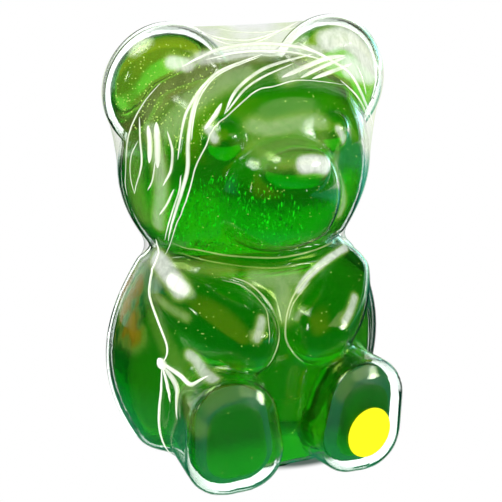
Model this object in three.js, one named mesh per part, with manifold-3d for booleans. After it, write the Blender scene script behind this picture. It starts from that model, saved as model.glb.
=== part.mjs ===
// A giant gummy bear in its clear plastic case: the green jelly bear, the two thermoformed halves of
// the case that hug it, and the round yellow sticker on the sole of its left foot.
// Millimetres, +Z up, the bear faces -Y. The origin is on the ground, under the middle of the whole.
// The forms are laid out about the plane where the two halves of the case meet.
import * as THREE from "three";
import { mergeVertices } from "three/addons/utils/BufferGeometryUtils.js";
import Module from "manifold-3d";

const wasm = await Module();
wasm.setup();

// Driving dimensions.
const bearHeight = 236.5; // from the ground to the top of the jelly's ears
const bearWidth = 152; // of the jelly, across the hips
const wall = 1.0; // of the case
const closeGap = 1.2; // between the jelly and the case
const looseGap = 3.4; // the same round the ears and feet, where the jelly has shrunk away
const underGap = 0.3; // under the seat of the jelly
const rimWidth = 1.6; // of the flange on the edge of each half of the case
const rimThick = 1.0;
const jointGap = 0.3; // clear air between pieces that touch
const filmThick = 0.5; // of the shrink film where it bridges from ear to ear
const filmDip = 1.5; // how far that bridge hangs below the tops of the ears
const stickerDiameter = 29;
const stickerThick = 0.3;
const stickerPlace = { across: 0, up: -7.5 }; // from the middle of the sole
const backShare = 0.85; // how deep the flatter back of the head and body is, as a share of the front

const h = bearHeight;
const w = bearWidth;

// The forms of the bear, in shares of its height and width. Each is a superellipsoid: its power is
// 2 where it is round and more where it is boxy, first round its Y axis, then along it.
const middleForms = {
  head: {
    centre: [0, 0, 0.689 * h],
    half: [0.474 * w, 0.31 * w, 0.245 * h],
    power: [2.3, 2.3],
    detail: 4,
  },
  neck: {
    centre: [0, -0.045 * w, 0.476 * h],
    half: [0.378 * w, 0.258 * w, 0.03 * h],
    power: [2.4, 2.4],
    detail: 2,
  },
  torso: {
    centre: [0, -0.05 * w, 0.245 * h],
    half: [0.526 * w, 0.28 * w, 0.2875 * h],
    power: [2.5, 2.5],
    detail: 4,
  },
  lap: {
    centre: [0, -0.135 * w, 0.07 * h],
    half: [0.3 * w, 0.25 * w, 0.22 * h],
    power: [4, 4],
    detail: 2,
  },
  muzzle: {
    centre: [0, -0.25 * w, 0.652 * h],
    half: [0.225 * w, 0.2 * w, 0.129 * h],
    power: [2.3, 2.2],
    detail: 2,
  },
  nose: {
    centre: [0, -0.405 * w, 0.735 * h],
    half: [0.117 * w, 0.065 * w, 0.04 * h],
    power: [2.2, 2.2],
    detail: 2,
  },
};
const eye = { across: 0.209 * w, forward: -0.245 * w, up: 0.7855 * h, radius: 0.064 * w, detail: 2 };
const ear = {
  across: 0.318 * w,
  forward: -0.016 * w,
  up: 0.866 * h,
  radius: 0.134 * h,
  halfThick: 0.081 * w,
  power: [2.1, 3],
  turn: 9, // degrees, outwards
  dish: { radius: 0.095 * h, depth: 0.014 * w, detail: 2 }, // hollowed into its front face
  detail: 3,
};
const arm = {
  shoulder: [0.3 * w, -0.17 * w, 0.4 * h],
  hand: [0.16 * w, -0.33 * w, 0.328 * h],
  halfThick: 0.141 * w,
  power: [2.2, 2.6],
  detail: 3,
};
const leg = {
  sole: [0.263 * w, -0.535 * w, 0.14 * h], // the middle of the flat sole
  half: [0.145 * w, 0.3 * w, 0.121 * h],
  solePart: 0.94, // how far along its half length the leg is cut off flat
  power: [2.4, 6],
  taper: 0.12, // narrower towards the toes
  splay: 8, // degrees, turned outwards
  lean: 6, // degrees, tipped outwards
  detail: 3,
};

const Y = new THREE.Vector3(0, 1, 0);
const Z = new THREE.Vector3(0, 0, 1);
const radians = THREE.MathUtils.degToRad;

// A closed three.js geometry as a manifold-3d solid, and back.
function solid(geometry) {
  const bare = geometry.clone();
  bare.deleteAttribute("normal");
  bare.deleteAttribute("uv");
  const merged = mergeVertices(bare, 1e-4);
  return new wasm.Manifold(
    new wasm.Mesh({
      numProp: 3,
      vertProperties: merged.attributes.position.array,
      triVerts: new Uint32Array(merged.index.array),
    }),
  );
}

function geometryOf(made) {
  const mesh = made.getMesh();
  const geometry = new THREE.BufferGeometry();
  geometry.setAttribute("position", new THREE.BufferAttribute(new Float32Array(mesh.vertProperties), 3));
  geometry.setIndex(new THREE.BufferAttribute(new Uint32Array(mesh.triVerts), 1));
  geometry.computeVertexNormals();
  return geometry;
}

// A superellipsoid about the origin, grown by one size all over. The taper narrows it towards +Z,
// and the back share flattens the half behind the origin.
function plumpForm({ half, power, detail, taper = 0, back = 1 }, grow) {
  const [round, along] = power;
  const geometry = new THREE.IcosahedronGeometry(1, detail);
  const points = geometry.attributes.position;
  const p = new THREE.Vector3();
  for (let i = 0; i < points.count; i++) {
    p.fromBufferAttribute(points, i).normalize();
    const section = (Math.abs(p.x) ** round + Math.abs(p.z) ** round) ** (along / round);
    p.multiplyScalar((section + Math.abs(p.y) ** along) ** (-1 / along));
    const x = p.x * (half[0] + grow) * (1 - taper * p.z);
    const y = p.y * (half[1] * (p.y > 0 ? back : 1) + grow);
    points.setXYZ(i, x, y, p.z * (half[2] + grow));
  }
  return geometry;
}

// A block that fills all of space on one side of a plane, near enough.
function halfSpace(point, normal) {
  const size = 4 * bearHeight;
  const turn = new THREE.Quaternion().setFromUnitVectors(Z, normal);
  const geometry = new THREE.BoxGeometry(size, size, size).translate(0, 0, size / 2);
  return solid(geometry.applyQuaternion(turn).translate(...point));
}

function eyeForm(side, grow) {
  const ball = new THREE.IcosahedronGeometry(eye.radius + grow, eye.detail);
  return solid(ball.translate(side * eye.across, eye.forward, eye.up));
}

// An ear is a thick disc with a shallow dish in its front face.
function earForm(side, grow) {
  const { radius, halfThick, power, detail, dish } = ear;
  const disc = plumpForm({ half: [radius, halfThick, radius], power, detail }, grow);
  const hollow = new THREE.IcosahedronGeometry(1, dish.detail);
  hollow.scale(dish.radius, 2 * dish.depth, dish.radius);
  hollow.translate(0, -(halfThick + grow) - dish.depth, 0);
  const place = (geometry) =>
    geometry.rotateZ(radians(side * ear.turn)).translate(side * ear.across, ear.forward, ear.up);
  return solid(place(disc)).subtract(solid(place(hollow)));
}

// An arm lies from the shoulder forwards and inwards to the hand, on the belly.
function armForm(side, grow) {
  const shoulder = new THREE.Vector3(side * arm.shoulder[0], arm.shoulder[1], arm.shoulder[2]);
  const hand = new THREE.Vector3(side * arm.hand[0], arm.hand[1], arm.hand[2]);
  const halfLong = shoulder.distanceTo(hand) / 2 + arm.halfThick;
  const half = [arm.halfThick, halfLong, arm.halfThick];
  const along = hand.clone().sub(shoulder).normalize();
  const turn = new THREE.Quaternion().setFromUnitVectors(Y, along);
  const middle = shoulder.add(hand).multiplyScalar(0.5);
  const form = plumpForm({ half, power: arm.power, detail: arm.detail }, grow);
  return solid(form.applyQuaternion(turn).translate(...middle));
}

// Where the leg of one side points: its turn, and the direction that its sole faces.
function legTurn(side) {
  const turn = new THREE.Quaternion().setFromEuler(
    new THREE.Euler(0, radians(side * leg.lean), radians(side * leg.splay), "ZYX"),
  );
  return { turn, facing: Y.clone().negate().applyQuaternion(turn) };
}

// A leg reaches forwards and is cut off flat at its sole.
function legForm(side, grow) {
  const { turn, facing } = legTurn(side);
  const sole = new THREE.Vector3(side * leg.sole[0], leg.sole[1], leg.sole[2]);
  const middle = sole.clone().addScaledVector(facing, -leg.solePart * leg.half[1]);
  const face = sole.clone().addScaledVector(facing, grow);
  const form = plumpForm(leg, grow).applyQuaternion(turn).translate(...middle);
  return solid(form).subtract(halfSpace(face, facing));
}

// The whole bear, grown by one size all over and by another round the ears and feet, and cut off
// flat at the height where it sits.
function bearForm(grow, looseGrow, low) {
  const pieces = Object.values(middleForms).map((form) => {
    const geometry = plumpForm({ ...form, back: backShare }, grow);
    return solid(geometry.translate(...form.centre));
  });
  for (const side of [-1, 1]) {
    pieces.push(eyeForm(side, grow), armForm(side, grow));
    pieces.push(earForm(side, looseGrow), legForm(side, looseGrow));
  }
  const whole = pieces.reduce((sum, piece) => sum.add(piece));
  return whole.intersect(halfSpace([0, 0, low], Z));
}

const jelly = bearForm(0, 0, wall + underGap);
const caseInside = bearForm(closeGap, looseGap, wall);
const caseOutside = bearForm(closeGap + wall, looseGap + wall, 0);
const rimOutside = bearForm(closeGap + wall + rimWidth, looseGap + wall + rimWidth, 0);

// One half of the case, in front of the plane where they meet or behind it, with the narrow flange
// along its edge.
function caseHalf(side) {
  const away = Y.clone().multiplyScalar(side);
  const ownSide = halfSpace(away.clone().multiplyScalar(jointGap / 2), away);
  const beyondRim = halfSpace(away.clone().multiplyScalar(jointGap / 2 + rimThick), away);
  const rim = rimOutside.intersect(ownSide).subtract(beyondRim);
  return caseOutside.intersect(ownSide).add(rim).subtract(caseInside);
}

// The shrink film is drawn over the gap between the ears like a tunnel, from one ear to the other.
function filmBridge() {
  const grow = looseGap + wall - filmDip;
  const span = (size) => earForm(-1, size).add(earForm(1, size)).hull();
  const clear = wall + rimWidth + jointGap;
  const wrapped = bearForm(closeGap + clear, looseGap + clear, 0);
  return span(grow).subtract(span(grow - filmThick)).subtract(wrapped);
}

// The sticker lies on the case, low on the sole of the bear's left foot.
function sticker() {
  const { turn, facing } = legTurn(1);
  const radius = stickerDiameter / 2;
  const disc = new THREE.CylinderGeometry(radius, radius, stickerThick, 32).translate(0, stickerThick / 2, 0);
  const place = new THREE.Vector3(stickerPlace.across, 0, stickerPlace.up).applyQuaternion(turn);
  place.add(new THREE.Vector3(...leg.sole)).addScaledVector(facing, looseGap + wall + jointGap);
  const lay = new THREE.Quaternion().setFromUnitVectors(Y, facing);
  return solid(disc.applyQuaternion(lay).translate(...place));
}

function mesh(name, made, { colour, roughness, opacity = 1 }) {
  const material = new THREE.MeshStandardMaterial({ color: colour, roughness, metalness: 0 });
  material.transparent = opacity < 1;
  material.opacity = opacity;
  const object = new THREE.Mesh(geometryOf(made), material);
  object.name = name;
  return object;
}

const greenJelly = { colour: 0x128a10, roughness: 0.2 };
const clearPlastic = { colour: 0xe4f2ea, roughness: 0.08, opacity: 0.35 };
const clearFilm = { colour: 0xf2f6ee, roughness: 0.12, opacity: 0.25 };
const yellowPaper = { colour: 0xfff200, roughness: 0.5 };

const wholeBear = new THREE.Group();
wholeBear.add(mesh("gummy_bear", jelly, greenJelly));
wholeBear.add(mesh("case_front", caseHalf(-1), clearPlastic));
wholeBear.add(mesh("case_back", caseHalf(1), clearPlastic));
wholeBear.add(mesh("shrink_film", filmBridge(), clearFilm));
wholeBear.add(mesh("sole_sticker", sticker(), yellowPaper));

// The origin goes under the middle of the whole.
const bounds = new THREE.Box3().setFromObject(wholeBear);
wholeBear.position.y = -(bounds.min.y + bounds.max.y) / 2;

export default wholeBear;
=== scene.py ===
# A giant green gummy bear in its clear two-part case, wrapped in shrink film.
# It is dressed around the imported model: metres, +Z up, the bear faces -Y.
import math
import random

import bpy
from mathutils import Matrix, Vector
from mathutils.kdtree import KDTree


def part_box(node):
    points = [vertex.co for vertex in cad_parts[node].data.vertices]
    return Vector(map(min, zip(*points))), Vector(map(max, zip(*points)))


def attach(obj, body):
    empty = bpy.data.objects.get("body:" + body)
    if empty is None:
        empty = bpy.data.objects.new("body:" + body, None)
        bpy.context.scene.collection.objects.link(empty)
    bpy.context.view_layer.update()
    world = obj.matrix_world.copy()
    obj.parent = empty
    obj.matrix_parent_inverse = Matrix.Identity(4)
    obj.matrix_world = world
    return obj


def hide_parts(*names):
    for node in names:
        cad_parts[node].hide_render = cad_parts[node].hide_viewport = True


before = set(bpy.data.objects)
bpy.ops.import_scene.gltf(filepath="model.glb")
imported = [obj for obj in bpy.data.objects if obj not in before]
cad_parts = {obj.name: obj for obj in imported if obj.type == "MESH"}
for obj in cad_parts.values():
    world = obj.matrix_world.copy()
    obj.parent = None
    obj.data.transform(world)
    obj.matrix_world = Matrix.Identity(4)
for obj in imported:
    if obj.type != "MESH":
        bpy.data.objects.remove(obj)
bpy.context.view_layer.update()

jellyLow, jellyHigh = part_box("gummy_bear")
frontHigh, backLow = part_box("case_front")[1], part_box("case_back")[0]
mm = 0.001
h = jellyHigh.z  # from the ground to the top of the jelly's ears
hips = 1.052  # the width across the hips, in shares of w
w = (jellyHigh.x - jellyLow.x) / hips  # what the widths and depths below are given in
jointY = (frontHigh.y + backLow.y) / 2  # the plane where the two halves of the case meet
hair = 0.01 * mm  # points closer than this count as in the same plane
creaseAngle = math.radians(50)  # edges sharper than this stay sharp


# How pieces are selected, shaped, copied and joined.
def deselectAll():
    if bpy.context.object and bpy.context.object.mode != "OBJECT":
        bpy.ops.object.mode_set(mode="OBJECT")
    bpy.ops.object.select_all(action="DESELECT")


def makeActive(*pieces):
    deselectAll()
    for piece in pieces:
        piece.select_set(True)
    bpy.context.view_layer.objects.active = pieces[0]


def editAll(piece):
    makeActive(piece)
    bpy.ops.object.mode_set(mode="EDIT")
    bpy.ops.mesh.select_mode(type="VERT")
    bpy.ops.mesh.select_all(action="SELECT")


def editPoints(piece, test):
    editAll(piece)
    bpy.ops.mesh.select_all(action="DESELECT")
    endEdit()
    for vertex in piece.data.vertices:
        vertex.select = test(vertex.co)
    bpy.ops.object.mode_set(mode="EDIT")


def editEdges(piece, test):
    editAll(piece)
    bpy.ops.mesh.select_mode(type="EDGE")
    bpy.ops.mesh.select_all(action="DESELECT")
    endEdit()
    points = piece.data.vertices
    for edge in piece.data.edges:
        edge.select = test(*[points[i].co for i in edge.vertices])
    bpy.ops.object.mode_set(mode="EDIT")


def endEdit():
    bpy.ops.object.mode_set(mode="OBJECT")


def resizeBy(x, y, z, centre=(0, 0, 0)):
    bpy.ops.transform.resize(value=(x, y, z), center_override=centre)


def applyModifier(piece, kind, **settings):
    makeActive(piece)
    modifier = piece.modifiers.new(kind.lower(), kind)
    for name, value in settings.items():
        setattr(modifier, name, value)
    bpy.ops.object.modifier_apply(modifier=modifier.name)


def placeForm(piece, centre, turn=None):
    rotation = turn.to_4x4() if turn else Matrix.Identity(4)
    piece.matrix_basis = Matrix.Translation(centre) @ rotation @ piece.matrix_basis
    makeActive(piece)
    bpy.ops.object.transform_apply(location=True, rotation=True, scale=True)
    return piece


def joinPieces(pieces):
    makeActive(*pieces)
    bpy.ops.object.join()
    return bpy.context.object


def copyPiece(piece, name):
    copy = piece.copy()
    copy.data = piece.data.copy()
    copy.name = copy.data.name = name
    bpy.context.scene.collection.objects.link(copy)
    return copy


def placeTree(places):
    tree = KDTree(len(places))
    for i, place in enumerate(places):
        tree.insert(place, i)
    tree.balance()
    return tree


def layValues(piece, name, values):
    piece.data.attributes.new(name, "FLOAT", "POINT").data.foreach_set("value", values)


# The forms of the bear, in shares of its height and width, about the plane where the halves meet.
forms = {
    "middle": {  # centre, half size, squareness (2 is round)
        "head": [(0, 0, 0.689 * h), (0.474 * w, 0.31 * w, 0.245 * h), 2.42],
        "neck": [(0, -0.045 * w, 0.476 * h), (0.378 * w, 0.258 * w, 0.03 * h), 2.4],
        "torso": [(0, -0.05 * w, 0.245 * h), (0.526 * w, 0.28 * w, 0.2875 * h), 2.65],
        "lap": [(0, -0.135 * w, 0.07 * h), (0.3 * w, 0.25 * w, 0.22 * h), 4],
        "muzzle": [(0, -0.25 * w, 0.652 * h), (0.225 * w, 0.2 * w, 0.129 * h), 2.25],
        "nose": [(0, -0.405 * w, 0.735 * h), (0.117 * w, 0.065 * w, 0.04 * h), 2.2],
    },
    "backShare": 0.85,  # the back of the middle forms is flatter than the front
    "cuts": 19,  # across each cube that is blown up
    "eye": {"place": (0.209 * w, -0.245 * w, 0.7855 * h), "radius": 0.064 * w},
    "ear": {
        "place": (0.318 * w, -0.016 * w, 0.866 * h),
        "radius": 0.134 * h,
        "halfThick": 0.081 * w,
        "turn": 9,
        "edgeRound": 0.97,  # as a share of half the thickness
        "dishRadius": 0.095 * h,
        "dishDepth": 0.003 * w,
    },
    "arm": {
        "shoulder": (0.3 * w, -0.17 * w, 0.4 * h),
        "hand": (0.16 * w, -0.33 * w, 0.328 * h),
        "halfThick": 0.141 * w,
        "squareness": 2.35,
    },
    "leg": {
        "sole": (0.263 * w, -0.535 * w, 0.14 * h),
        "half": (0.145 * w, 0.3 * w, 0.121 * h),
        "solePart": 0.94,
        "taper": 0.12,  # narrower towards the toes
        "splay": 8,
        "lean": 6,
        "toeRound": 0.97,  # of the upper long edges, as a share of half the width
        "heelRound": 0.85,
        "soleEdge": 6 * mm,  # the sloped rim round the flat sole, wider over the toes
        "caseEdge": 5.5 * mm,
        "soleDrop": 4.5 * mm,
        "edgeRound": 1.2 * mm,
    },
}


def plumpForm(half, squareness, grow):
    # A cube cut fine and blown up towards a ball, then sized.
    bpy.ops.mesh.primitive_cube_add(size=2, location=(0, 0, 0))
    piece = bpy.context.object
    editAll(piece)
    bpy.ops.mesh.subdivide(number_cuts=forms["cuts"])
    # How far out they reach at 45 degrees: the form wanted, a cube of half size 1, and the ball it makes.
    corner, cube, ball = 2 ** (0.5 - 1 / squareness), 1.414, 1.28
    bpy.ops.transform.tosphere(value=(cube - corner) / (cube - ball + (ball - 1) * corner))
    endEdit()
    reach = max(vertex.co.x for vertex in piece.data.vertices)
    editAll(piece)
    resizeBy(*[(part + grow) / reach for part in half])
    endEdit()
    return piece


def middleForm(name, grow):
    centre, half, squareness = forms["middle"][name]
    piece = plumpForm(half, squareness, grow)
    editPoints(piece, lambda co: co.y > hair)
    back = (forms["backShare"] * half[1] + grow) / (half[1] + grow)
    resizeBy(1, back, 1)
    endEdit()
    return placeForm(piece, centre)


def eyeForm(side, grow):
    x, y, z = forms["eye"]["place"]
    radius = forms["eye"]["radius"] + grow
    bpy.ops.mesh.primitive_uv_sphere_add(segments=32, ring_count=16, radius=radius)
    return placeForm(bpy.context.object, (side * x, y, z))


def earForm(side, grow):
    # A disc with a full round edge and a shallow dish in its front.
    ear = forms["ear"]
    thick = ear["halfThick"] + grow
    bpy.ops.mesh.primitive_cylinder_add(
        vertices=72, radius=ear["radius"] + grow, depth=2 * thick, rotation=(math.pi / 2, 0, 0)
    )
    disc = placeForm(bpy.context.object, (0, 0, 0))
    disc.data.update()
    editEdges(disc, lambda a, b: abs(a.y - b.y) < hair)
    bpy.ops.mesh.bevel(offset=ear["edgeRound"] * thick, segments=8)
    endEdit()
    size = (ear["dishRadius"], 2 * ear["dishDepth"], ear["dishRadius"])
    bpy.ops.mesh.primitive_uv_sphere_add(segments=48, ring_count=24, radius=1, scale=size)
    dish = placeForm(bpy.context.object, (0, -thick - ear["dishDepth"], 0))
    applyModifier(disc, "BOOLEAN", operation="DIFFERENCE", object=dish, solver="EXACT")
    bpy.data.objects.remove(dish)
    x, y, z = ear["place"]
    return placeForm(disc, (side * x, y, z), Matrix.Rotation(math.radians(side * ear["turn"]), 3, "Z"))


def armForm(side, grow):
    arm = forms["arm"]
    shoulder = Vector((side * arm["shoulder"][0], *arm["shoulder"][1:]))
    hand = Vector((side * arm["hand"][0], *arm["hand"][1:]))
    thick = arm["halfThick"]
    half = (thick, (hand - shoulder).length / 2 + thick, thick)
    turn = Vector((0, 1, 0)).rotation_difference(hand - shoulder).to_matrix()
    return placeForm(plumpForm(half, arm["squareness"], grow), (shoulder + hand) / 2, turn)


def legForm(side, grow):
    # A block with its long edges rounded and a sloped rim round its flat sole, wider over the toes.
    leg = forms["leg"]
    halfWide, halfLong, halfHigh = leg["half"]
    length = 2 * leg["solePart"] * halfLong
    bpy.ops.mesh.primitive_cube_add(size=2)
    piece = bpy.context.object
    editAll(piece)
    resizeBy(halfWide + grow, (length + grow) / 2, halfHigh + grow)
    bpy.ops.transform.translate(value=(0, (length - grow) / 2, 0))
    for end in (-1, 1):
        editPoints(piece, lambda co: end * co.z > 0)
        resizeBy(1 - end * leg["taper"], 1, 1)
    for end, part in ((1, "toeRound"), (-1, "heelRound")):
        editEdges(piece, lambda a, b: abs(a.y - b.y) > 1 * mm and end * a.z > 0.9 * halfHigh)
        bpy.ops.mesh.bevel(offset=leg[part] * (halfWide + grow) * (1 - end * leg["taper"]), segments=10)
    editEdges(piece, lambda a, b: max(a.y, b.y) < -grow + hair)
    slope = leg["caseEdge"] if grow else leg["soleEdge"]
    bpy.ops.mesh.bevel(offset=slope, segments=1)
    high = halfHigh + grow - slope
    editPoints(piece, lambda co: co.y < -grow + hair)
    resizeBy(1, 1, 1 - leg["soleDrop"] / (2 * high), (0, -grow, -high))
    editEdges(piece, lambda a, b: max(a.y, b.y) < -grow + hair)
    bpy.ops.mesh.bevel(offset=leg["edgeRound"], segments=2)
    endEdit()
    x, y, z = leg["sole"]
    splay = Matrix.Rotation(math.radians(side * leg["splay"]), 3, "Z")
    lean = Matrix.Rotation(math.radians(side * leg["lean"]), 3, "Y")
    return placeForm(piece, (side * x, y, z), splay @ lean)


def bearForm(name, grow, looseGrow, low, voxel, rounds):
    # All the forms, grown by one size, cut flat at the ground and melted into one skin.
    pieces = [middleForm(form, grow) for form in forms["middle"]]
    for side in (-1, 1):
        pieces += [eyeForm(side, grow), armForm(side, grow)]
        pieces += [earForm(side, looseGrow), legForm(side, looseGrow)]
    for piece in pieces:
        if min(vertex.co.z for vertex in piece.data.vertices) < low:
            editAll(piece)
            bpy.ops.mesh.bisect(plane_co=(0, 0, low), plane_no=(0, 0, -1), use_fill=True, clear_outer=True)
            endEdit()
    bear = joinPieces(pieces)
    bear.name = bear.data.name = name
    applyModifier(bear, "REMESH", mode="VOXEL", voxel_size=voxel)
    applyModifier(bear, "SMOOTH", factor=0.5, iterations=rounds)
    return placeForm(bear, (0, jointY, 0))


# The jelly bear.
jellySize = {"voxel": 1.6 * mm, "rounds": 2, "seat": 1.3 * mm}
jelly = bearForm("jelly_bear", 0, 0, jellySize["seat"], jellySize["voxel"], jellySize["rounds"])
makeActive(jelly)
bpy.ops.object.shade_smooth_by_angle(angle=creaseAngle)
print("jelly bear made:", len(jelly.data.polygons), "faces")

# Bubbles and specks just under its skin, most of them in the bear's right ear.
bubbles = {
    "across": (0.35 * mm, 0.8 * mm),
    "under": (0.8 * mm, 6 * mm),
    "lean": 0.05,  # of the tall ones
    "azimuth": -26,  # the side that they are set from
    "from": 0.5,  # and how far off, in metres
    "patches": [  # middle and half size across and up, how many, how big, how tall and how green
        {"middle": (-0.28 * w, 0.866 * h), "half": (0.11 * h, 0.115 * h), "count": 260, "big": 1.25},
        {"middle": (0.29 * w, 0.866 * h), "half": (0.1 * h, 0.1 * h), "count": 30},
        {
            "middle": (-0.03 * w, 0.61 * h), "half": (0.25 * w, 0.1 * h), "count": 800,
            "big": 0.85, "tall": 6, "green": 1.0,
        },
        {"middle": (0.09 * w, 0.77 * h), "half": (0.4 * w, 0.1 * h), "count": 50},
        {"middle": (0.04 * w, 0.62 * h), "half": (0.4 * w, 0.1 * h), "count": 60},
        {"middle": (-0.08 * w, 0.37 * h), "half": (0.2 * w, 0.1 * h), "count": 50},
        {"middle": (0.35 * w, 0.37 * h), "half": (0.2 * w, 0.1 * h), "count": 35},
        {"middle": (0.2 * w, 0.14 * h), "half": (0.42 * w, 0.12 * h), "count": 20},
    ],
}


def direction(azimuth, elevation):
    # From the bear; azimuth 0 is straight in front and -90 is to its right.
    a, e = math.radians(azimuth), math.radians(elevation)
    return Vector((math.sin(a) * math.cos(e), -math.cos(a) * math.cos(e), math.sin(e)))


chance = random.Random(11)
towards = direction(bubbles["azimuth"], 0)
sideways = Vector((-towards.y, towards.x, 0))
spots = []
for patch in bubbles["patches"]:
    for i in range(patch["count"]):
        turn, reach = chance.uniform(0, 2 * math.pi), math.sqrt(chance.random())
        x = patch["middle"][0] + patch["half"][0] * reach * math.cos(turn)
        z = patch["middle"][1] + patch["half"][1] * reach * math.sin(turn)
        start = Vector((0, jointY, z)) + x * sideways + bubbles["from"] * towards
        hit, spot = jelly.ray_cast(start, -towards)[:2]
        if hit:
            spot -= chance.uniform(*bubbles["under"]) * towards
            spots.append((spot, patch.get("big", 1), patch.get("tall", 1), patch.get("green", 0)))
bpy.ops.mesh.primitive_ico_sphere_add(subdivisions=1, radius=0.5)
seed = bpy.context.object
beads = []
for spot, big, tall, green in spots:
    bead = copyPiece(seed, "bubble")
    layValues(bead, "green", [green] * len(seed.data.vertices))
    bead.location = spot
    across = big * chance.uniform(*bubbles["across"])
    bead.scale = (across, across, across * chance.uniform(1, tall))
    bead.rotation_euler = (0, (tall - 1) * chance.uniform(-bubbles["lean"], bubbles["lean"]), 0)
    beads.append(bead)
bpy.data.objects.remove(seed)
beads = joinPieces(beads)
beads.name = beads.data.name = "bubbles"
bpy.ops.object.transform_apply(location=True, rotation=True, scale=True)
print("bubbles made:", len(beads.data.polygons), "faces")

# The case: two thermoformed halves, each with a narrow flange along the joint.
caseSize = {
    "wall": 1.0 * mm,
    "closeGap": 1.2 * mm,
    "looseGap": 3.4 * mm,
    "flange": 1.6 * mm,
    "jointGap": 0.3 * mm,
    "voxel": 1.7 * mm,
    "rounds": 3,
}


def caseHalf(name, skin, side):
    # side is -1 for the front. The skin is cut short of the joint, flared out and thickened inwards.
    half = copyPiece(skin, name)
    edgeY = jointY + side * (caseSize["wall"] + caseSize["jointGap"] / 2)
    editAll(half)
    bpy.ops.mesh.bisect(plane_co=(0, edgeY, 0), plane_no=(0, -side, 0), clear_outer=True)
    editEdges(half, lambda a, b: max(abs(a.y - edgeY), abs(b.y - edgeY)) < hair)
    bpy.ops.mesh.extrude_edges_move()
    bpy.ops.transform.shrink_fatten(value=caseSize["flange"])
    resizeBy(1, 0, 1, (0, edgeY, 0))
    endEdit()
    applyModifier(half, "SOLIDIFY", thickness=caseSize["wall"], offset=-1)
    makeActive(half)
    bpy.ops.object.shade_smooth_by_angle(angle=creaseAngle)
    return half


grow = caseSize["closeGap"] + caseSize["wall"]
looseGrow = caseSize["looseGap"] + caseSize["wall"]
caseSkin = bearForm("case_skin", grow, looseGrow, 0, caseSize["voxel"], caseSize["rounds"])
caseHalves = [caseHalf("clear_case_front", caseSkin, -1), caseHalf("clear_case_back", caseSkin, 1)]
print("case halves made:", [len(half.data.polygons) for half in caseHalves], "faces")

# The shrink film spans from ear to ear and from the eyes to the nose. It hugs the rest, drawn taut over
# the case, and is open underneath.
filmSize = {"voxel": 2.0 * mm, "off": 0.4 * mm, "rounds": 16, "draw": 16, "edge": 0.3 * mm}
spans = []
for parts in (
    [middleForm("head", grow), earForm(-1, looseGrow), earForm(1, looseGrow)],
    [middleForm("nose", grow), eyeForm(-1, grow), eyeForm(1, grow)],
):
    span = joinPieces(parts)
    editAll(span)
    bpy.ops.mesh.convex_hull()
    endEdit()
    spans.append(placeForm(span, (0, jointY, 0)))
film = joinPieces([copyPiece(caseSkin, "film_wrap"), *spans])
applyModifier(film, "REMESH", mode="VOXEL", voxel_size=filmSize["voxel"])
for turn in range(filmSize["rounds"]):
    applyModifier(film, "SMOOTH", factor=0.5, iterations=filmSize["draw"])
    applyModifier(
        film,
        "SHRINKWRAP",
        target=caseSkin,
        wrap_method="NEAREST_SURFACEPOINT",
        wrap_mode="OUTSIDE",
        offset=filmSize["off"],
    )
editAll(film)
bpy.ops.mesh.bisect(plane_co=(0, 0, filmSize["edge"]), plane_no=(0, 0, -1), clear_outer=True)
endEdit()

# How far the film stands off the case, in millimetres, which shows as haze.
spots = [vertex.co for vertex in film.data.vertices]
layValues(film, "slack", [(spot - caseSkin.closest_point_on_mesh(spot)[1]).length / mm for spot in spots])
bpy.data.objects.remove(caseSkin)
print("shrink film drawn:", len(film.data.polygons), "faces")

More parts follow.
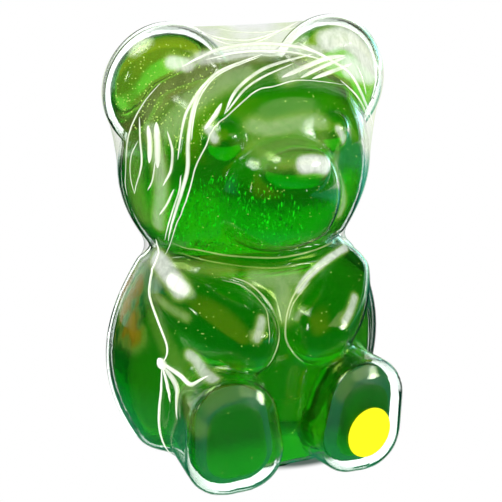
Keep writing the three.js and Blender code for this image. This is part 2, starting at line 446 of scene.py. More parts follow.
# The pleats where the film has gathered, each by a few points on it in millimetres, with its width,
# how flat it lies and how white it is; the white is partly a painted glint.
pleatShape = {"flat": 0.4, "bright": 0.75, "reach": 0.75, "tip": 0.12, "fullness": 0.7}
pleats = {
    "crown": {"wide": 2.0, "flat": 0.3, "route": [
        (-49, 2, 222), (-25, 4, 230), (-1, 5, 231), (21, 3, 228), (38, -1, 222),
    ]},
    "crown low": {"wide": 1.2, "flat": 0.3, "route": [
        (-36, 1, 225), (-12, 2, 228), (12, 1, 227), (36, -1, 220),
    ]},
    "long outer": {"wide": 1.5, "route": [
        (-3, 1, 226), (-28, -3, 220), (-38, -5, 214), (-46, -7, 206), (-52, -9, 196), (-56, -12, 176),
    ]},
    "long inner": {"wide": 1.9, "route": [
        (-36, -5, 216), (-42, -6, 210), (-47, -9, 200), (-51, -13, 186), (-52, -15, 171), (-55, -14, 157),
        (-56, -1, 128),
    ]},
    "long twin": {"wide": 0.9, "flat": 0.5, "route": [
        (-5, 0, 225), (-29, -3, 218), (-40, -6, 210), (-46, -9, 199), (-49, -13, 186),
    ]},
    "brow": {"wide": 1.7, "route": [
        (27, 0, 225), (6, -3, 222), (-6, -5, 219), (-17, -8, 214), (-25, -11, 208), (-32, -16, 199),
    ]},
    "brow twin": {"wide": 1.1, "route": [
        (14, -3, 221), (-5, -7, 216), (-17, -10, 211), (-24, -13, 206), (-31, -16, 200),
    ]},
    "brow tip": {"wide": 2.2, "flat": 0.3, "route": [(-32, -12, 204), (-38, -15, 197), (-43, -16, 192)]},
    "face edge": {"wide": 0.7, "flat": 0.5, "route": [
        (45, -6, 208), (15, -9, 213), (-1, -11, 211), (-13, -12, 209), (-34, -18, 196), (-42, -19, 186),
        (-48, -17, 173), (-51, -16, 160), (-55, -5, 132), (-56, 3, 119),
    ]},
    "cheek 1": {"wide": 1.0, "flat": 0.5, "route": [
        (-71, 5, 196), (-71, 4, 184), (-70, 4, 170), (-71, 10, 153),
    ]},
    "cheek 2": {"wide": 0.6, "flat": 0.5, "route": [
        (-72, 5, 183), (-73, 10, 174), (-73, 12, 163), (-71, 10, 153),
    ]},
    "cheek 3": {"wide": 2.6, "flat": 0.2, "route": [(-68, 1, 192), (-67, 0, 182), (-67, 0, 172)]},
    "cheek 4": {"wide": 3.2, "flat": 0.2, "route": [(-64, -1, 194), (-64, -3, 183), (-64, -4, 170)]},
    "cheek 5": {"wide": 0.8, "flat": 0.5, "route": [(-65, -3, 174), (-66, -2, 163), (-67, 1, 157)]},
    "cheek 6": {"wide": 1.3, "flat": 0.5, "route": [
        (-60, -6, 190), (-58, -9, 180), (-59, -10, 170), (-62, -7, 161),
    ]},
    "cheek 7": {"wide": 1.1, "route": [(-58, -12, 160), (-60, -8, 151), (-62, -3, 144)]},
    "cheek 8": {"wide": 0.8, "route": [(-55, -14, 168), (-56, -13, 157), (-57, 1, 128)]},
    "side": {"wide": 0.7, "flat": 0.5, "route": [
        (-61, 2, 214), (-69, 4, 204), (-74, 8, 191), (-75, 12, 179), (-74, 17, 159), (-72, 17, 150),
    ]},
    "right brow 1": {"wide": 2.0, "flat": 0.3, "route": [
        (21, 4, 230), (38, -1, 221), (50, -2, 213), (60, -4, 196), (67, 0, 183),
    ]},
    "right brow 2": {"wide": 1.2, "flat": 0.3, "route": [
        (42, -6, 211), (53, -6, 201), (60, -5, 190), (66, -2, 180),
    ]},
    "right cross 1": {"wide": 2.6, "flat": 0.2, "route": [
        (5, -8, 215), (17, -5, 218), (34, -1, 222), (48, 1, 223),
    ]},
    "right cross 2": {"wide": 2.0, "flat": 0.3, "route": [(16, -8, 214), (30, -4, 218), (48, 1, 222)]},
    "right cross 3": {"wide": 2.2, "flat": 0.3, "route": [(23, -8, 213), (40, -3, 216), (52, 1, 218)]},
    "right cheek": {"wide": 1.2, "route": [(56, 1, 217), (59, 0, 209), (61, -2, 201)]},
    "bridge 1": {"wide": 1.4, "flat": 0.3, "route": [
        (-39, 17, 240), (-26, 9, 235), (-7, 7, 233), (15, 12, 237), (30, 21, 239),
    ]},
    "bridge 2": {"wide": 1.0, "flat": 0.3, "route": [
        (-35, 12, 237), (-20, 5, 232), (-1, 6, 233), (20, 15, 238),
    ]},
    "bridge 3": {"wide": 0.8, "route": [(-24, 16, 238), (-11, 12, 236), (6, 11, 236), (23, 13, 237)]},
    "left arm 1": {"wide": 1.1, "bright": 0.42, "route": [
        (-28, -23, 111), (-19, -25, 107), (-12, -27, 100), (-7, -31, 93), (-6, -38, 85), (-11, -46, 76),
        (-17, -46, 67),
    ]},
    "left arm 2": {"wide": 0.7, "bright": 0.4, "route": [
        (-34, -23, 110), (-24, -26, 107), (-17, -29, 101), (-13, -35, 95), (-15, -43, 89), (-17, -48, 80),
    ]},
    "right arm 1": {"wide": 1.1, "bright": 0.42, "route": [
        (35, -20, 113), (22, -24, 110), (14, -26, 104), (7, -28, 97), (2, -31, 87), (1, -33, 76),
        (5, -36, 68), (10, -39, 63),
    ]},
    "right arm 2": {"wide": 0.7, "bright": 0.4, "route": [
        (18, -27, 104), (12, -28, 99), (6, -30, 93), (3, -32, 86),
    ]},
    "neck 1": {"wide": 0.9, "bright": 0.3, "route": [
        (-55, -3, 127), (-44, -10, 125), (-30, -17, 122), (-11, -22, 120), (10, -22, 119), (30, -17, 120),
        (45, -9, 122),
    ]},
    "neck 2": {"wide": 0.7, "bright": 0.22, "route": [
        (-51, -4, 122), (-40, -13, 119), (-22, -21, 116), (-3, -25, 114), (13, -24, 114),
    ]},
    "seam top": {"wide": 1.0, "flat": 0.8, "bright": 1.3, "route": [
        (-58, 8, 128), (-63, 6, 118), (-66, -2, 101), (-63, -18, 75), (-65, -17, 63),
    ]},
    "seam low": {"wide": 1.1, "flat": 0.8, "bright": 1.3, "route": [
        (-65, -17, 63), (-64, -16, 45), (-64, -13, 23), (-57, -10, 2),
    ]},
    "gather 1": {"wide": 2.0, "flat": 0.7, "bright": 1.3, "route": [
        (-66, -15, 66), (-60, -22, 61), (-57, -38, 59), (-49, -43, 64),
    ]},
    "gather 2": {"wide": 1.4, "flat": 0.7, "bright": 1.3, "route": [
        (-65, -17, 63), (-62, -20, 52), (-60, -24, 44),
    ]},
    "gather 3": {"wide": 3.0, "flat": 0.3, "route": [(-64, -18, 62), (-60, -28, 52), (-57, -38, 40)]},
    "knot": {"wide": 4.0, "flat": 0.7, "bright": 1.3, "route": [
        (-66, -15, 67), (-65, -17, 64), (-64, -18, 61),
    ]},
}


def alongRoute(route, each=8):
    # A smooth way through the points of a route, each stretch cut into equal steps.
    points = [Vector(point) * mm for point in route]
    ends = [2 * points[0] - points[1], *points, 2 * points[-1] - points[-2]]
    way = []
    for a, b, c, d in zip(ends, ends[1:], ends[2:], ends[3:]):
        for step in range(each):
            t = step / each
            bow = (2 * a - 5 * b + 4 * c - d) * t**2
            twist = (3 * b - a - 3 * c + d) * t**3
            way.append(0.5 * (2 * b + (c - a) * t + bow + twist))
    return way + [points[-1]]


def onFilm(points):
    # The place on the film nearest to each point, and which way it faces there.
    return [film.closest_point_on_mesh(point)[1:3] for point in points]


def pleatForm(name, wide, route, flat=pleatShape["flat"], bright=pleatShape["bright"]):
    # A fold of the film, tapered to both ends, pressed flat and whitest along its middle, where a painted
    # glint runs.
    way = [spot for spot, normal in onFilm(alongRoute(route))]
    data = bpy.data.curves.new(name, "CURVE")
    data.dimensions = "3D"
    data.bevel_depth = reach = pleatShape["reach"] * wide * mm
    data.bevel_resolution = 2
    data.use_fill_caps = True
    spline = data.splines.new("POLY")
    spline.points.add(len(way) - 1)
    tip = pleatShape["tip"]
    for i, point in enumerate(way):
        full = math.sin(math.pi * i / (len(way) - 1)) ** pleatShape["fullness"]
        spline.points[i].co = (*point, 1)
        spline.points[i].radius = tip + (1 - tip) * full
    fold = bpy.data.objects.new(name, data)
    bpy.context.scene.collection.objects.link(fold)
    makeActive(fold)
    bpy.ops.object.convert(target="MESH")
    middles = placeTree(way)
    points = [vertex.co.copy() for vertex in fold.data.vertices]
    pressed, whites = [], []
    for point, (spot, normal) in zip(points, onFilm(points)):
        point -= (1 - flat) * (point - spot).dot(normal) * normal
        pressed += list(point)
        aside = (point - spot).dot(normal)
        apart = middles.find(point)[2] ** 2 - aside**2
        whites.append(bright * max(0, 1 - apart / reach**2))
    fold.data.vertices.foreach_set("co", pressed)
    layValues(fold, "white", whites)
    return fold


# Where the film is pleated too finely to see each pleat, it is milky; most patches are also painted
# highlights and reflections: how wide, how much, and where.
# Painted rusty light from the room shows at one place on its right side.
paintedRustyLight = {"wide": 13, "milkAndSheen": 0.4, "route": [(-74, 14, 99), (-74, 6, 91), (-75, 4, 80)]}
hazeAndHighlightPatches = {
    "right ear": {"wide": 8, "milkAndSheen": 0.7, "route": [
        (39, 5, 231), (50, 5, 232), (61, 5, 223), (66, 5, 212), (50, 0, 217),
    ]},
    "crown": {"wide": 5, "milkAndSheen": 0.5, "route": [
        (-39, 1, 226), (-24, 2, 227), (-7, 2, 229), (14, 2, 228), (31, 1, 226),
    ]},
    "left ear": {"wide": 4.5, "milkAndSheen": 0.6, "route": [(-54, 4, 224), (-46, 1, 223)]},
    "forehead": {"wide": 8, "milkAndSheen": 0.2, "route": [
        (-67, 2, 200), (-57, -1, 210), (-43, -2, 217), (-26, -2, 222),
    ]},
    "forehead inner": {"wide": 8, "milkAndSheen": 0.28, "route": [
        (-59, -6, 191), (-48, -8, 204), (-34, -7, 213), (-16, -5, 219),
    ]},
    "right brow": {"wide": 6, "milkAndSheen": 0.4, "route": [
        (7, -8, 216), (23, -5, 220), (44, -1, 220), (54, -1, 212),
    ]},
    "left cheek": {"wide": 7, "milkAndSheen": 0.12, "route": [
        (-76, 9, 194), (-74, 10, 177), (-72, 9, 161), (-67, 9, 141),
    ]},
    "left cheek inner": {"wide": 5, "milkAndSheen": 0.35, "route": [
        (-67, 0, 190), (-64, -4, 174), (-63, -6, 158), (-62, 0, 137),
    ]},
    "brow": {"wide": 7, "milkAndSheen": 0.3, "route": [
        (-18, -23, 192), (-11, -26, 191), (-1, -25, 191), (9, -24, 192), (20, -24, 193),
    ]},
    "nose bridge": {"wide": 8, "milkAndSheen": 0.17, "route": [
        (-20, -33, 186), (-12, -37, 185), (0, -37, 186), (14, -35, 186),
    ]},
    "nose top": {"wide": 6, "milkAndSheen": 0.18, "route": [(-19, -39, 179), (-11, -46, 180), (-3, -48, 181)]},
    "nose": {"wide": 5.5, "milkAndSheen": 0.75, "route": [(-1, -49, 178), (5, -49, 178), (12, -47, 176)]},
    "left eye": {"wide": 3, "milkAndSheen": 0.55, "route": [(-42, -17, 193), (-41, -20, 191), (-40, -22, 188)]},
    "right eye": {"wide": 3, "milkAndSheen": 0.5, "route": [(31, -26, 189), (33, -26, 186), (35, -26, 183)]},
    "left shoulder": {"wide": 6, "milkAndSheen": 0.6, "route": [(-59, 7, 116), (-58, -6, 112), (-56, -19, 106)]},
    "left collar": {"wide": 4, "milkAndSheen": 0.15, "route": [(-59, 4, 115), (-45, -13, 115), (-28, -21, 113)]},
    "left arm": {"wide": 3, "milkAndSheen": 0.25, "route": [(-66, -9, 100), (-62, -18, 96), (-56, -27, 93)]},
    "chest": {"wide": 7, "milkAndSheen": 0.3, "route": [(1, -23, 106), (2, -27, 97), (1, -30, 89)]},
    "chest top": {"wide": 6, "milkAndSheen": 0.28, "route": [(-15, -23, 109), (-3, -24, 107), (9, -24, 107)]},
    "right collar": {"wide": 2.5, "milkAndSheen": 0.7, "route": [
        (48, -10, 115), (30, -21, 113), (18, -24, 107), (11, -27, 100),
    ]},
    "left hip": {"wide": 5, "milkAndSheen": 0.1, "route": [
        (-68, -5, 97), (-62, -19, 72), (-62, -41, 55), (-61, -59, 42),
    ]},
    "left hand": {"wide": 3.2, "milkAndSheen": 0.45, "route": [(-18, -41, 92), (-22, -46, 87), (-24, -47, 84)]},
    "right arm": {"wide": 3, "milkAndSheen": 0.5, "route": [(41, -37, 96), (36, -42, 91), (30, -46, 86)]},
    "right arm inner": {"wide": 2, "milkAndSheen": 0.35, "route": [(6, -35, 87), (10, -35, 92)]},
    "right cheek": {"wide": 3.5, "milkAndSheen": 0.35, "route": [
        (30, -31, 165), (37, -24, 155), (41, -19, 145), (40, -17, 138),
    ]},
    "left knee": {"wide": 4, "milkAndSheen": 0.5, "route": [(-53, -27, 71), (-50, -39, 65), (-49, -49, 65)]},
}

ridge = {"high": 0.5 * mm, "wide": 3.0 * mm}
spots = [point for pleat in pleats.values() for point in alongRoute(pleat["route"])]
lines = placeTree([spot for spot, normal in onFilm(spots)])
raised = []
for vertex in film.data.vertices:
    lift = ridge["high"] * math.exp(-((lines.find(vertex.co)[2] / ridge["wide"]) ** 2))
    raised += list(vertex.co + lift * vertex.normal)


def hazeAndHighlightOver(wide, milkAndSheen, route):
    # How much milky haze and painted highlight this patch puts on each point of the film.
    line = placeTree([spot for spot, normal in onFilm(alongRoute(route))])
    # It is full along the route and fades out at its width.
    aparts = [line.find(vertex.co)[2] / (wide * mm) for vertex in film.data.vertices]
    return [milkAndSheen * math.exp(-(apart**4)) for apart in aparts]


milkAndSheen = [max(values) for values in zip(*[hazeAndHighlightOver(**hazeAndHighlight) for hazeAndHighlight in hazeAndHighlightPatches.values()])]
rustyLightShown = hazeAndHighlightOver(**paintedRustyLight)
film.data.vertices.foreach_set("co", raised)
layValues(film, "hazeAndHighlight", milkAndSheen)
layValues(film, "paintedRustyLight", rustyLightShown)
film.data.update()
folds = [pleatForm(name, **pleat) for name, pleat in pleats.items()]
film = joinPieces([film, *folds])
makeActive(film)
bpy.ops.object.shade_smooth()
print("film pleated:", len(film.data.polygons), "faces")


# Colours are sRGB hex values.
def linear(colour, bright=1):
    parts = [int(colour[i : i + 2], 16) / 255 for i in (1, 3, 5)]
    parts = [part / 12.92 if part < 0.04045 else ((part + 0.055) / 1.055) ** 2.4 for part in parts]
    return [bright * part for part in parts] + [1]


def addNode(tree, kind, settings=None, links=None):
    node = tree.nodes.new(kind)
    for name, value in (settings or {}).items():
        if isinstance(name, int) or name in node.inputs:
            node.inputs[name].default_value = value
        else:
            setattr(node, name, value)
    for name, source in (links or {}).items():
        tree.links.new(source, node.inputs[name])
    return node


def merge(tree, *parts, by="MULTIPLY"):
    # One value from several: multiplied, it holds where all of them do. A part is a value, or a value
    # with where it starts to hold and where it holds in full.
    merged = None
    for part in parts:
        if isinstance(part, tuple):
            value, start, full = part
            settings = {"interpolation_type": "SMOOTHSTEP", "From Min": start, "From Max": full}
            part = addNode(tree, "ShaderNodeMapRange", settings, {"Value": value}).outputs[0]
        if merged is not None:
            links = {0: merged, 1: part}
            part = addNode(tree, "ShaderNodeMath", {"operation": by, "use_clamp": True}, links).outputs[0]
        merged = part
    return merged


def layColours(tree, colour, *layers):
    # Each layer is how much of it shows and its colour, over the ones before it.
    for shows, over in layers:
        mix = addNode(tree, "ShaderNodeMix", {"data_type": "RGBA"}, {"Factor": shows})
        for socket, part in ((mix.inputs[6], colour), (mix.inputs[7], over)):
            if isinstance(part, bpy.types.NodeSocket):
                tree.links.new(part, socket)
            else:
                socket.default_value = linear(part) if isinstance(part, str) else part
        colour = mix.outputs[2]
    return colour


def lightPath(tree):
    # Whether the light has come through the jelly, been mirrored, or come through clear sheet.
    path = addNode(tree, "ShaderNodeLightPath")
    passed = []
    for depth, least in (("Transmission Depth", 5.5), ("Glossy Depth", 0.5), ("Transmission Depth", 0.5)):
        settings = {"operation": "GREATER_THAN", 1: least}
        passed.append(addNode(tree, "ShaderNodeMath", settings, {0: path.outputs[depth]}).outputs[0])
    return passed


def newMaterial(name):
    material = bpy.data.materials.new(name)
    material.use_nodes = True
    material.node_tree.nodes.clear()
    return material, material.node_tree


def letLampsThrough(tree, shader, tint):
    path = addNode(tree, "ShaderNodeLightPath")
    clear = addNode(tree, "ShaderNodeBsdfTransparent", {"Color": linear(tint)})
    links = {0: path.outputs["Is Shadow Ray"], 1: shader, 2: clear.outputs[0]}
    return addNode(tree, "ShaderNodeMixShader", links=links).outputs[0]


def dress(piece, material, slot, *nodes):
    piece.data.materials.clear()
    piece.data.materials.append(material)
    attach(piece, "root")
    if nodes:
        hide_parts(*nodes)


# Gelatine jelly, cast in a smooth mould: clear, deep green where it is thick and olive where it is thin.
jellyLook = {
    "soak": "#bcf559",  # what is left of white light
    "density": 90.0,
    "ior": 1.36,
    "shadow": "#3fb338",
    "waves": {"size": 9 * mm, "strength": 0.12, "high": 1 * mm},
    "streaks": {"size": 2.4 * mm, "stretch": 0.3, "strength": 0.9, "high": 1.2 * mm},  # low on the head
    "smooth": 0.03,
    "low": 0.13,  # roughness of the lap and legs
    "sole": 0.4,  # roughness of the soles, which were the open side of the mould
    "heel": 0.5,  # roughness of the back edge of the seat
    # The soles' sloped rims get painted sea-green light: a glow, and a tint on what passes through.
    "paintedRimGlow": "#164535",
    "paintedRimTint": "#89aaaa",
}


def greenJelly():
    material, tree = newMaterial("green gelatine jelly")
    look, waves, streaks = jellyLook, jellyLook["waves"], jellyLook["streaks"]
    place = addNode(tree, "ShaderNodeTexCoord").outputs["Object"]
    settings = {"Scale": 1 / waves["size"], "Detail": 3.0, "Roughness": 0.5}
    wavy = addNode(tree, "ShaderNodeTexNoise", settings, {"Vector": place})
    settings = {"Strength": waves["strength"], "Distance": waves["high"]}
    bump = addNode(tree, "ShaderNodeBump", settings, {"Height": wavy.outputs["Fac"]})
    upright = addNode(tree, "ShaderNodeMapping", {"Scale": (1, 1, streaks["stretch"])}, {"Vector": place})
    settings = {"Scale": 1 / streaks["size"], "Detail": 2.0, "Roughness": 0.6}
    streaky = addNode(tree, "ShaderNodeTexNoise", settings, {"Vector": upright.outputs[0]})
    split = addNode(tree, "ShaderNodeSeparateXYZ", links={0: place})
    y, z = split.outputs["Y"], split.outputs["Z"]
    band = merge(tree, (z, 108 * mm, 122 * mm), (z, 178 * mm, 150 * mm))
    settings = {"operation": "MULTIPLY", 1: streaks["strength"]}
    strength = addNode(tree, "ShaderNodeMath", settings, {0: band})
    links = {
        "Strength": strength.outputs[0],
        "Height": streaky.outputs["Fac"],
        "Normal": bump.outputs["Normal"],
    }
    bump = addNode(tree, "ShaderNodeBump", {"Distance": streaks["high"]}, links)
    # The soles face the front, and their sloped rims a little less so.
    normal = addNode(tree, "ShaderNodeNewGeometry").outputs["Normal"]
    settings = {"operation": "DOT_PRODUCT", 1: (0, -1, 0)}
    ahead = addNode(tree, "ShaderNodeVectorMath", settings, {0: normal}).outputs["Value"]
    low = (z, 85 * mm, 75 * mm)
    sole = merge(tree, (ahead, 0.5, 0.6), (y, -45 * mm, -55 * mm), low)
    # This mask lays the rims' painted sea-green tint and glow.
    rim = merge(tree, sole, (ahead, 0.93, 0.85))
    lap = merge(tree, low, (y, 0, -20 * mm))
    heel = merge(tree, (z, 14 * mm, 7 * mm), (y, 0, 30 * mm))
    settings = {"To Min": look["smooth"], "To Max": look["low"]}
    matt = addNode(tree, "ShaderNodeMapRange", settings, {"Value": lap})
    for part, shows in (("sole", sole), ("heel", heel)):
        links = {"Value": shows, "To Min": matt.outputs[0]}
        matt = addNode(tree, "ShaderNodeMapRange", {"To Max": look[part]}, links)
    gel = addNode(
        tree,
        "ShaderNodeBsdfPrincipled",
        {"IOR": look["ior"], "Transmission Weight": 1.0, "Emission Strength": 1.0},
        {
            "Base Color": layColours(tree, "#ffffff", (rim, look["paintedRimTint"])),
            "Normal": bump.outputs["Normal"],
            "Roughness": matt.outputs[0],
            "Emission Color": layColours(tree, "#000000", (rim, look["paintedRimGlow"])),
        },
    )
    surface = letLampsThrough(tree, gel.outputs[0], look["shadow"])
    settings = {"Color": linear(look["soak"]), "Density": look["density"]}
    soak = addNode(tree, "ShaderNodeVolumeAbsorption", settings)
    addNode(tree, "ShaderNodeOutputMaterial", links={"Surface": surface, "Volume": soak.outputs[0]})
    return material


dress(jelly, greenJelly(), "green_jelly", "gummy_bear")


# Air bubbles and specks, which catch the light yellow or leaf green; that light is a painted glow.
def paleBubble():
    material, tree = newMaterial("yellow-lit air bubble")
    place = addNode(tree, "ShaderNodeTexCoord").outputs["Object"]
    vary = addNode(tree, "ShaderNodeTexNoise", {"Scale": 1 / (3 * mm)}, {"Vector": place}).outputs["Fac"]
    yellow = layColours(tree, "#95c43f", (vary, "#fff9aa"))
    leafy = layColours(tree, "#006f00", (merge(tree, (vary, 0.4, 0.62)), "#19e719"))
    green = addNode(tree, "ShaderNodeAttribute", {"attribute_name": "green"}).outputs["Fac"]
    tint = layColours(tree, yellow, (green, leafy))
    # Their emission is a painted glow in their own tint.
    settings = {"Roughness": 0.25, "Emission Strength": 0.7}
    links = {"Base Color": tint, "Emission Color": tint}
    bubble = addNode(tree, "ShaderNodeBsdfPrincipled", settings, links)
    addNode(tree, "ShaderNodeOutputMaterial", links={"Surface": bubble.outputs[0]})
    return material


dress(beads, paleBubble(), "green_jelly")


# Clear PET sheet, thermoformed: glossy, colourless face on and sea green along its edges.
def clearPlastic():
    material, tree = newMaterial("clear thermoformed PET")
    settings = {"Base Color": linear("#ffffff"), "Roughness": 0.03, "IOR": 1.5, "Transmission Weight": 1.0}
    sheet = addNode(tree, "ShaderNodeBsdfPrincipled", settings)
    surface = letLampsThrough(tree, sheet.outputs[0], "#f9fcfa")
    soak = addNode(tree, "ShaderNodeVolumeAbsorption", {"Color": linear("#59edda"), "Density": 35.0})
    addNode(tree, "ShaderNodeOutputMaterial", links={"Surface": surface, "Volume": soak.outputs[0]})
    return material


plastic = clearPlastic()
dress(caseHalves[0], plastic, "clear_case", "case_front")
dress(caseHalves[1], plastic, "clear_case", "case_back")

# Clear polyolefin shrink film: its thin gloss is strongest at a glance, and it is milky where it stands
# off the case, white where it is pleated and folded, and lets the case show elsewhere. Its haze is partly
# painted sheen and highlights, its folds carry painted glints, and it has a painted glow, with painted
# green light from the jelly and painted rusty light in it.
filmLook = {
    # The milkiness by stand-off is milky haze and painted sheen together.
    "milkAndSheen": {"From Min": 1.0, "From Max": 9.0, "To Max": 0.26},  # by how far off it stands, in millimetres
    "gloss": {"To Min": 0.05, "To Max": 0.5},  # its mirror face on and at a glance
    "free": {"From Min": 8.0, "From Max": 18.0, "To Min": 1.0, "To Max": 0.3},  # less of it where it spans
    # The strength of a painted glow in the haze's own colour.
    "glow": 0.4,
    # Painted green light from the jelly, on the film's haze where it lies close to the case.
    "olive": "#bfdf65",  # near the jelly
    "pale": "#f3f7ef",
    # The white of the patches and folds, partly painted highlights and glints.
    "white": "#f6f9ef",
    # The colour of the painted rusty light.
    "paintedRustyLight": "#aa7c19",
}


def shrinkFilm():
    material, tree = newMaterial("clear shrink film")
    look = filmLook
    place = addNode(tree, "ShaderNodeTexCoord").outputs["Object"]
    upright = addNode(tree, "ShaderNodeMapping", {"Scale": (1, 1, 0.3)}, {"Vector": place}).outputs[0]
    split = addNode(tree, "ShaderNodeSeparateXYZ", links={0: place})
    x, z = split.outputs["X"], split.outputs["Z"]
    slack, hazeAndHighlight, fold, paintedRustyLight = [
        addNode(tree, "ShaderNodeAttribute", {"attribute_name": name}).outputs["Fac"]
        for name in ("slack", "hazeAndHighlight", "white", "paintedRustyLight")
    ]

    def uneven(size, detail, rough, distortion, least, most):
        settings = {"Scale": 1 / size, "Detail": detail, "Roughness": rough, "Distortion": distortion}
        noise = addNode(tree, "ShaderNodeTexNoise", settings, {"Vector": upright})
        settings = {"From Min": 0.35, "From Max": 0.65, "To Min": least, "To Max": most}
        return addNode(tree, "ShaderNodeMapRange", settings, {"Value": noise.outputs["Fac"]}).outputs[0]

    # Milky haze and painted sheen where it stands off, high on the head and down the cheek on its right.
    streaks = uneven(9 * mm, 2.0, 0.5, 0.0, 0.6, 1.15)
    milkAndSheen = addNode(tree, "ShaderNodeMapRange", look["milkAndSheen"], {"Value": slack}).outputs[0]
    brow = merge(tree, (z, 175 * mm, 205 * mm), (x, 40 * mm, 20 * mm))
    crown = merge(tree, (z, 195 * mm, 212 * mm))
    cheek = merge(tree, (x, -35 * mm, -60 * mm), (z, 115 * mm, 135 * mm))
    milkAndSheen = merge(tree, milkAndSheen, (slack, 20, 11), streaks, merge(tree, brow, crown, cheek, by="MAXIMUM"))
    # Patches of milky haze and painted highlight, made uneven.
    hazeAndHighlightShown = merge(tree, hazeAndHighlight, uneven(5 * mm, 4.0, 0.7, 1.0, 0.75, 1.1))
    settings = {"Scale": 1 / (6 * mm), "Detail": 3.0}
    blotches = addNode(tree, "ShaderNodeTexNoise", settings, {"Vector": upright}).outputs["Fac"]
    # Painted rusty light, in blotches.
    rustyLightShown = merge(tree, paintedRustyLight, (blotches, 0.32, 0.66))
    haze = merge(tree, milkAndSheen, hazeAndHighlightShown, merge(tree, fold, streaks), rustyLightShown, by="MAXIMUM")
    # The haze's colour: painted green light from the jelly where the film lies close, pale where it stands
    # off, white over the patches and folds, and painted rusty light.
    tint = layColours(
        tree,
        look["olive"],
        (merge(tree, (slack, 8, 16)), look["pale"]),
        (merge(tree, (merge(tree, hazeAndHighlight, fold, by="MAXIMUM"), 0.1, 0.6)), look["white"]),
        (merge(tree, (rustyLightShown, 0.05, 0.25)), look["paintedRustyLight"]),
    )
    facing = addNode(tree, "ShaderNodeLayerWeight", {"Blend": 0.5}).outputs["Facing"]
    glance = addNode(tree, "ShaderNodeMath", {"operation": "POWER", 1: 4.0}, {0: facing}).outputs[0]
    gloss = addNode(tree, "ShaderNodeMapRange", look["gloss"], {"Value": glance}).outputs[0]
    free = addNode(tree, "ShaderNodeMapRange", look["free"], {"Value": slack}).outputs[0]
    gloss = merge(tree, gloss, free)
    # Together they hide what is behind; the mirror's share of that is the metallic weight.
    clear = addNode(tree, "ShaderNodeMath", {"operation": "SUBTRACT", 0: 1.0}, {1: haze}).outputs[0]
    links = {0: gloss, 1: clear, 2: haze}
    hides = addNode(tree, "ShaderNodeMath", {"operation": "MULTIPLY_ADD"}, links).outputs[0]
    mirror = merge(tree, gloss, hides, by="DIVIDE")
    # The skin has a painted glow in its tint, fading where it mirrors.
    skin = addNode(
        tree,
        "ShaderNodeBsdfPrincipled",
        {"Roughness": 0.1, "Emission Strength": look["glow"]},
        {
            "Base Color": tint,
            "Emission Color": layColours(tree, tint, (mirror, "#000000")),
            "Metallic": mirror,
            "Alpha": hides,
        },
    )
    addNode(tree, "ShaderNodeOutputMaterial", links={"Surface": skin.outputs[0]})
    return material


dress(film, shrinkFilm(), "clear_film", "shrink_film")


# Coated paper, flat and even, with a faint sheen and a faint painted glow.
def yellowPaper():
    material, tree = newMaterial("yellow paper label")
    yellow = linear("#fffc00")
    settings = {
        "Base Color": yellow,
        "Roughness": 0.55,
        "Specular IOR Level": 0.2,
        # A faint painted glow in the label's own yellow.
        "Emission Color": yellow,
        "Emission Strength": 0.15,
    }
    paper = addNode(tree, "ShaderNodeBsdfPrincipled", settings)
    addNode(tree, "ShaderNodeOutputMaterial", links={"Surface": paper.outputs[0]})
    return material


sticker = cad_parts["sole_sticker"]
sticker.data.materials.clear()
sticker.data.materials.append(yellowPaper())
print("pieces dressed")

# The stage. What is seen through the jelly is a bright floor near the bear and a dim, warm room far off;
# what mirrors in its skin is a dark room with softboxes.
stage = {
    "size": 12.0,
    "shade": "#90ad7c",  # of the floor in the bear's shade, seen through the jelly
    "bands": [  # of the floor round it, by how far off it is
        {"reach": (0.08, 0.16), "colour": "#95aa6c"},
        {"reach": (0.2, 0.35), "colour": "#edc859"},
        {"reach": (0.48, 0.58), "colour": "#aaa059"},
        {"reach": (0.8, 1.0), "colour": "#cbf9a0"},
    ],
    "horizon": "#cbf9a0",  # of the room, seen through the jelly
    "sky": "#e7f3cb",
    "skyFrom": (0.1, 0.35),  # how steeply up
    "clear": linear("#fcfffc", 1.25),  # of the room, seen through clear sheet only
    "clearFloor": linear("#fcfffc", 1.95),
    "floorGloss": "#0d3027",  # of the floor in front, mirrored
    "nearGloss": "#278661",  # of the floor at the bear's feet, mirrored
    "nearReach": (0.08, 0.16),
    "sheets": [  # of the floor further off on one side, mirrored
        {"azimuth": 127, "reach": (0.3, 0.5), "colour": "#45b39b"},
        {"azimuth": 154, "reach": (0.5, 0.8), "colour": "#ffffff"},
    ],
    "gloss": "#191d16",  # of the dark room in front, mirrored
    "cards": [  # of the room on one side, mirrored: where each stands and how near to it is bright
        {"from": (-128, -8), "width": (0.75, 0.95), "colour": "#27aa90"},
        {"from": (-20, 35), "width": (0.75, 0.97), "colour": "#bcaa30"},
        {"from": (-172, -8), "width": (0.4, 0.8), "colour": "#ffffff"},
    ],
}
# The shadow where the feet meet.
contact = {"colour": "#596961", "place": (0.02, -0.03, 0), "half": (0.04, 0.014, 0.03)}

bpy.ops.mesh.primitive_plane_add(size=stage["size"], location=(0, 0, -0.2 * mm))
floor = bpy.context.object
floor.name = "pale_floor"
material, tree = newMaterial("pale floor")
through, mirrored, cleared = lightPath(tree)
place = addNode(tree, "ShaderNodeTexCoord").outputs["Object"]
apart = addNode(tree, "ShaderNodeVectorMath", {"operation": "LENGTH"}, {0: place}).outputs["Value"]
bands = [(merge(tree, (apart, *band["reach"])), band["colour"]) for band in stage["bands"]]
settings = {"vector_type": "TEXTURE", "Location": contact["place"], "Scale": contact["half"]}
shadow = addNode(tree, "ShaderNodeMapping", settings, {"Vector": place}).outputs[0]
shadow = addNode(tree, "ShaderNodeVectorMath", {"operation": "LENGTH"}, {0: shadow}).outputs["Value"]
plain = layColours(tree, "#ffffff", (cleared, stage["clearFloor"]))
plain = layColours(tree, contact["colour"], (merge(tree, (shadow, 0.5, 1.0)), plain))
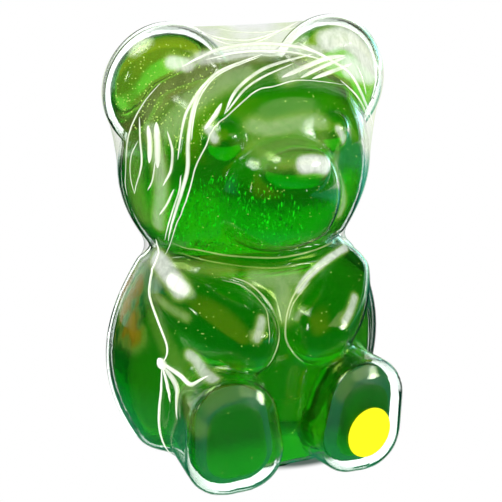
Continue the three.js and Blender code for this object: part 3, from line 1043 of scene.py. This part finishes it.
beyond = merge(tree, (apart, *stage["nearReach"]))
mirror = layColours(tree, stage["nearGloss"], (beyond, stage["floorGloss"]))
for sheet in stage["sheets"]:
    settings = {"operation": "DOT_PRODUCT", 1: direction(sheet["azimuth"], 0)}
    depth = addNode(tree, "ShaderNodeVectorMath", settings, {0: place}).outputs["Value"]
    mirror = layColours(tree, mirror, (merge(tree, (depth, *sheet["reach"])), sheet["colour"]))
below = layColours(tree, stage["shade"], *bands)
seen = layColours(tree, plain, (mirrored, mirror), (through, below))
paint = addNode(tree, "ShaderNodeEmission", {"Strength": 1.0}, {"Color": seen})
addNode(tree, "ShaderNodeOutputMaterial", links={"Surface": paint.outputs[0]})
floor.data.materials.append(material)

room = bpy.data.worlds.new("white room")
bpy.context.scene.world = room
room.use_nodes = True
tree = room.node_tree
tree.nodes.clear()
through, mirrored, cleared = lightPath(tree)
place = addNode(tree, "ShaderNodeTexCoord").outputs["Generated"]
gloss = stage["gloss"]
for card in stage["cards"]:
    settings = {"operation": "DOT_PRODUCT", 1: direction(*card["from"])}
    towards = addNode(tree, "ShaderNodeVectorMath", settings, {0: place}).outputs["Value"]
    gloss = layColours(tree, gloss, (merge(tree, (towards, *card["width"])), card["colour"]))
rise = addNode(tree, "ShaderNodeSeparateXYZ", links={0: place}).outputs["Z"]
beyond = layColours(tree, stage["horizon"], (merge(tree, (rise, *stage["skyFrom"])), stage["sky"]))
seen = layColours(tree, "#ffffff", (cleared, stage["clear"]), (mirrored, gloss), (through, beyond))
light = addNode(tree, "ShaderNodeBackground", {"Strength": 1.0}, {"Color": seen})
addNode(tree, "ShaderNodeOutputWorld", links={"Surface": light.outputs[0]})

# Softboxes, mirrored in the skin but not seen through the jelly: the azimuth and elevation each stands
# at, seen from the bear, its size in metres, how soft its edge is and how bright it is.
softboxes = {
    "window": {"from": (33, 30), "size": (1.4, 0.66), "soft": 0.3, "bright": 1.0, "colour": "#fff3bc"},
    "window core": {"from": (47, 15), "size": (0.75, 0.6), "soft": 0.08, "bright": 14, "colour": "#fffff7"},
    "overhead": {"from": (-98, 60), "size": (1.9, 1.4), "soft": 0.2, "bright": 6, "colour": "#fffff7"},
    "left": {"from": (-60, 16), "size": (0.25, 0.5), "soft": 0.1, "bright": 8, "colour": "#ffffff"},
    "cool left": {"from": (-140, 5), "size": (1.6, 1.1), "soft": 0.08, "bright": 0.5, "colour": "#59e7cb"},
    "cool right": {"from": (125, -2), "size": (1.6, 1.2), "soft": 0.08, "bright": 2.2, "colour": "#95f9e7"},
}
lightDistance = 1.8
middle = Vector((0, 0, h / 2))

for name, box in softboxes.items():
    lamp = bpy.data.lights.new(name, "AREA")
    lamp.shape = "RECTANGLE"
    lamp.size, lamp.size_y = box["size"]
    lamp.color = linear(box["colour"])[:3]
    lamp.energy = box["bright"] * math.pi * box["size"][0] * box["size"][1]
    lamp.use_nodes = True
    tree = lamp.node_tree
    tree.nodes.clear()
    through = lightPath(tree)[0]
    hidden = addNode(tree, "ShaderNodeMath", {"operation": "SUBTRACT", 0: 1.0}, {1: through}).outputs[0]
    spot = addNode(tree, "ShaderNodeNewGeometry").outputs["Parametric"]
    settings = {"operation": "SUBTRACT", 1: (0.5, 0.5, 0)}
    spot = addNode(tree, "ShaderNodeVectorMath", settings, {0: spot}).outputs[0]
    apart = addNode(tree, "ShaderNodeVectorMath", {"operation": "LENGTH"}, {0: spot}).outputs["Value"]
    strength = merge(tree, hidden, (apart, 0.5, box["soft"]))
    glow = addNode(tree, "ShaderNodeEmission", {"Color": (1, 1, 1, 1)}, {"Strength": strength})
    addNode(tree, "ShaderNodeOutputLight", links={"Surface": glow.outputs[0]})
    away = direction(*box["from"])
    softbox = bpy.data.objects.new(name, lamp)
    softbox.location = middle + lightDistance * away
    softbox.rotation_mode = "QUATERNION"
    softbox.rotation_quaternion = away.to_track_quat("Z", "Y")
    softbox.visible_camera = False
    softbox.visible_diffuse = False
    bpy.context.scene.collection.objects.link(softbox)
print("stage set:", len(softboxes), "softboxes")

# The camera, to the bear's right and a little above it.
view = {
    "azimuth": -26.42,
    "elevation": 17.97,
    "distance": 0.9023,
    "focal": 1577.43,  # in pixels
    "pixels": 502,  # across the frame
    "roll": 2.11,
    "sensor": 36.0,
    "target": (5.91 * mm, jointY, 107.94 * mm),
}
back = direction(view["azimuth"], view["elevation"])
right = Vector((0, 0, 1)).cross(back).normalized()
up = back.cross(right)
roll = math.radians(view["roll"])
across = right * math.cos(roll) + up * math.sin(roll)
upwards = up * math.cos(roll) - right * math.sin(roll)
turned = Matrix((across, upwards, back)).transposed().to_4x4()
camera = bpy.data.objects.new("camera", bpy.data.cameras.new("camera"))
camera.data.sensor_width = view["sensor"]
camera.data.lens = view["sensor"] * view["focal"] / view["pixels"]
camera.data.clip_start, camera.data.clip_end = 0.01, 50
camera.matrix_world = Matrix.Translation(Vector(view["target"]) + view["distance"] * back) @ turned
scene = bpy.context.scene
scene.collection.objects.link(camera)
scene.camera = camera
scene.view_settings.view_transform = "Standard"
scene.cycles.max_bounces = 24
scene.cycles.transmission_bounces = 24
scene.cycles.transparent_max_bounces = 24
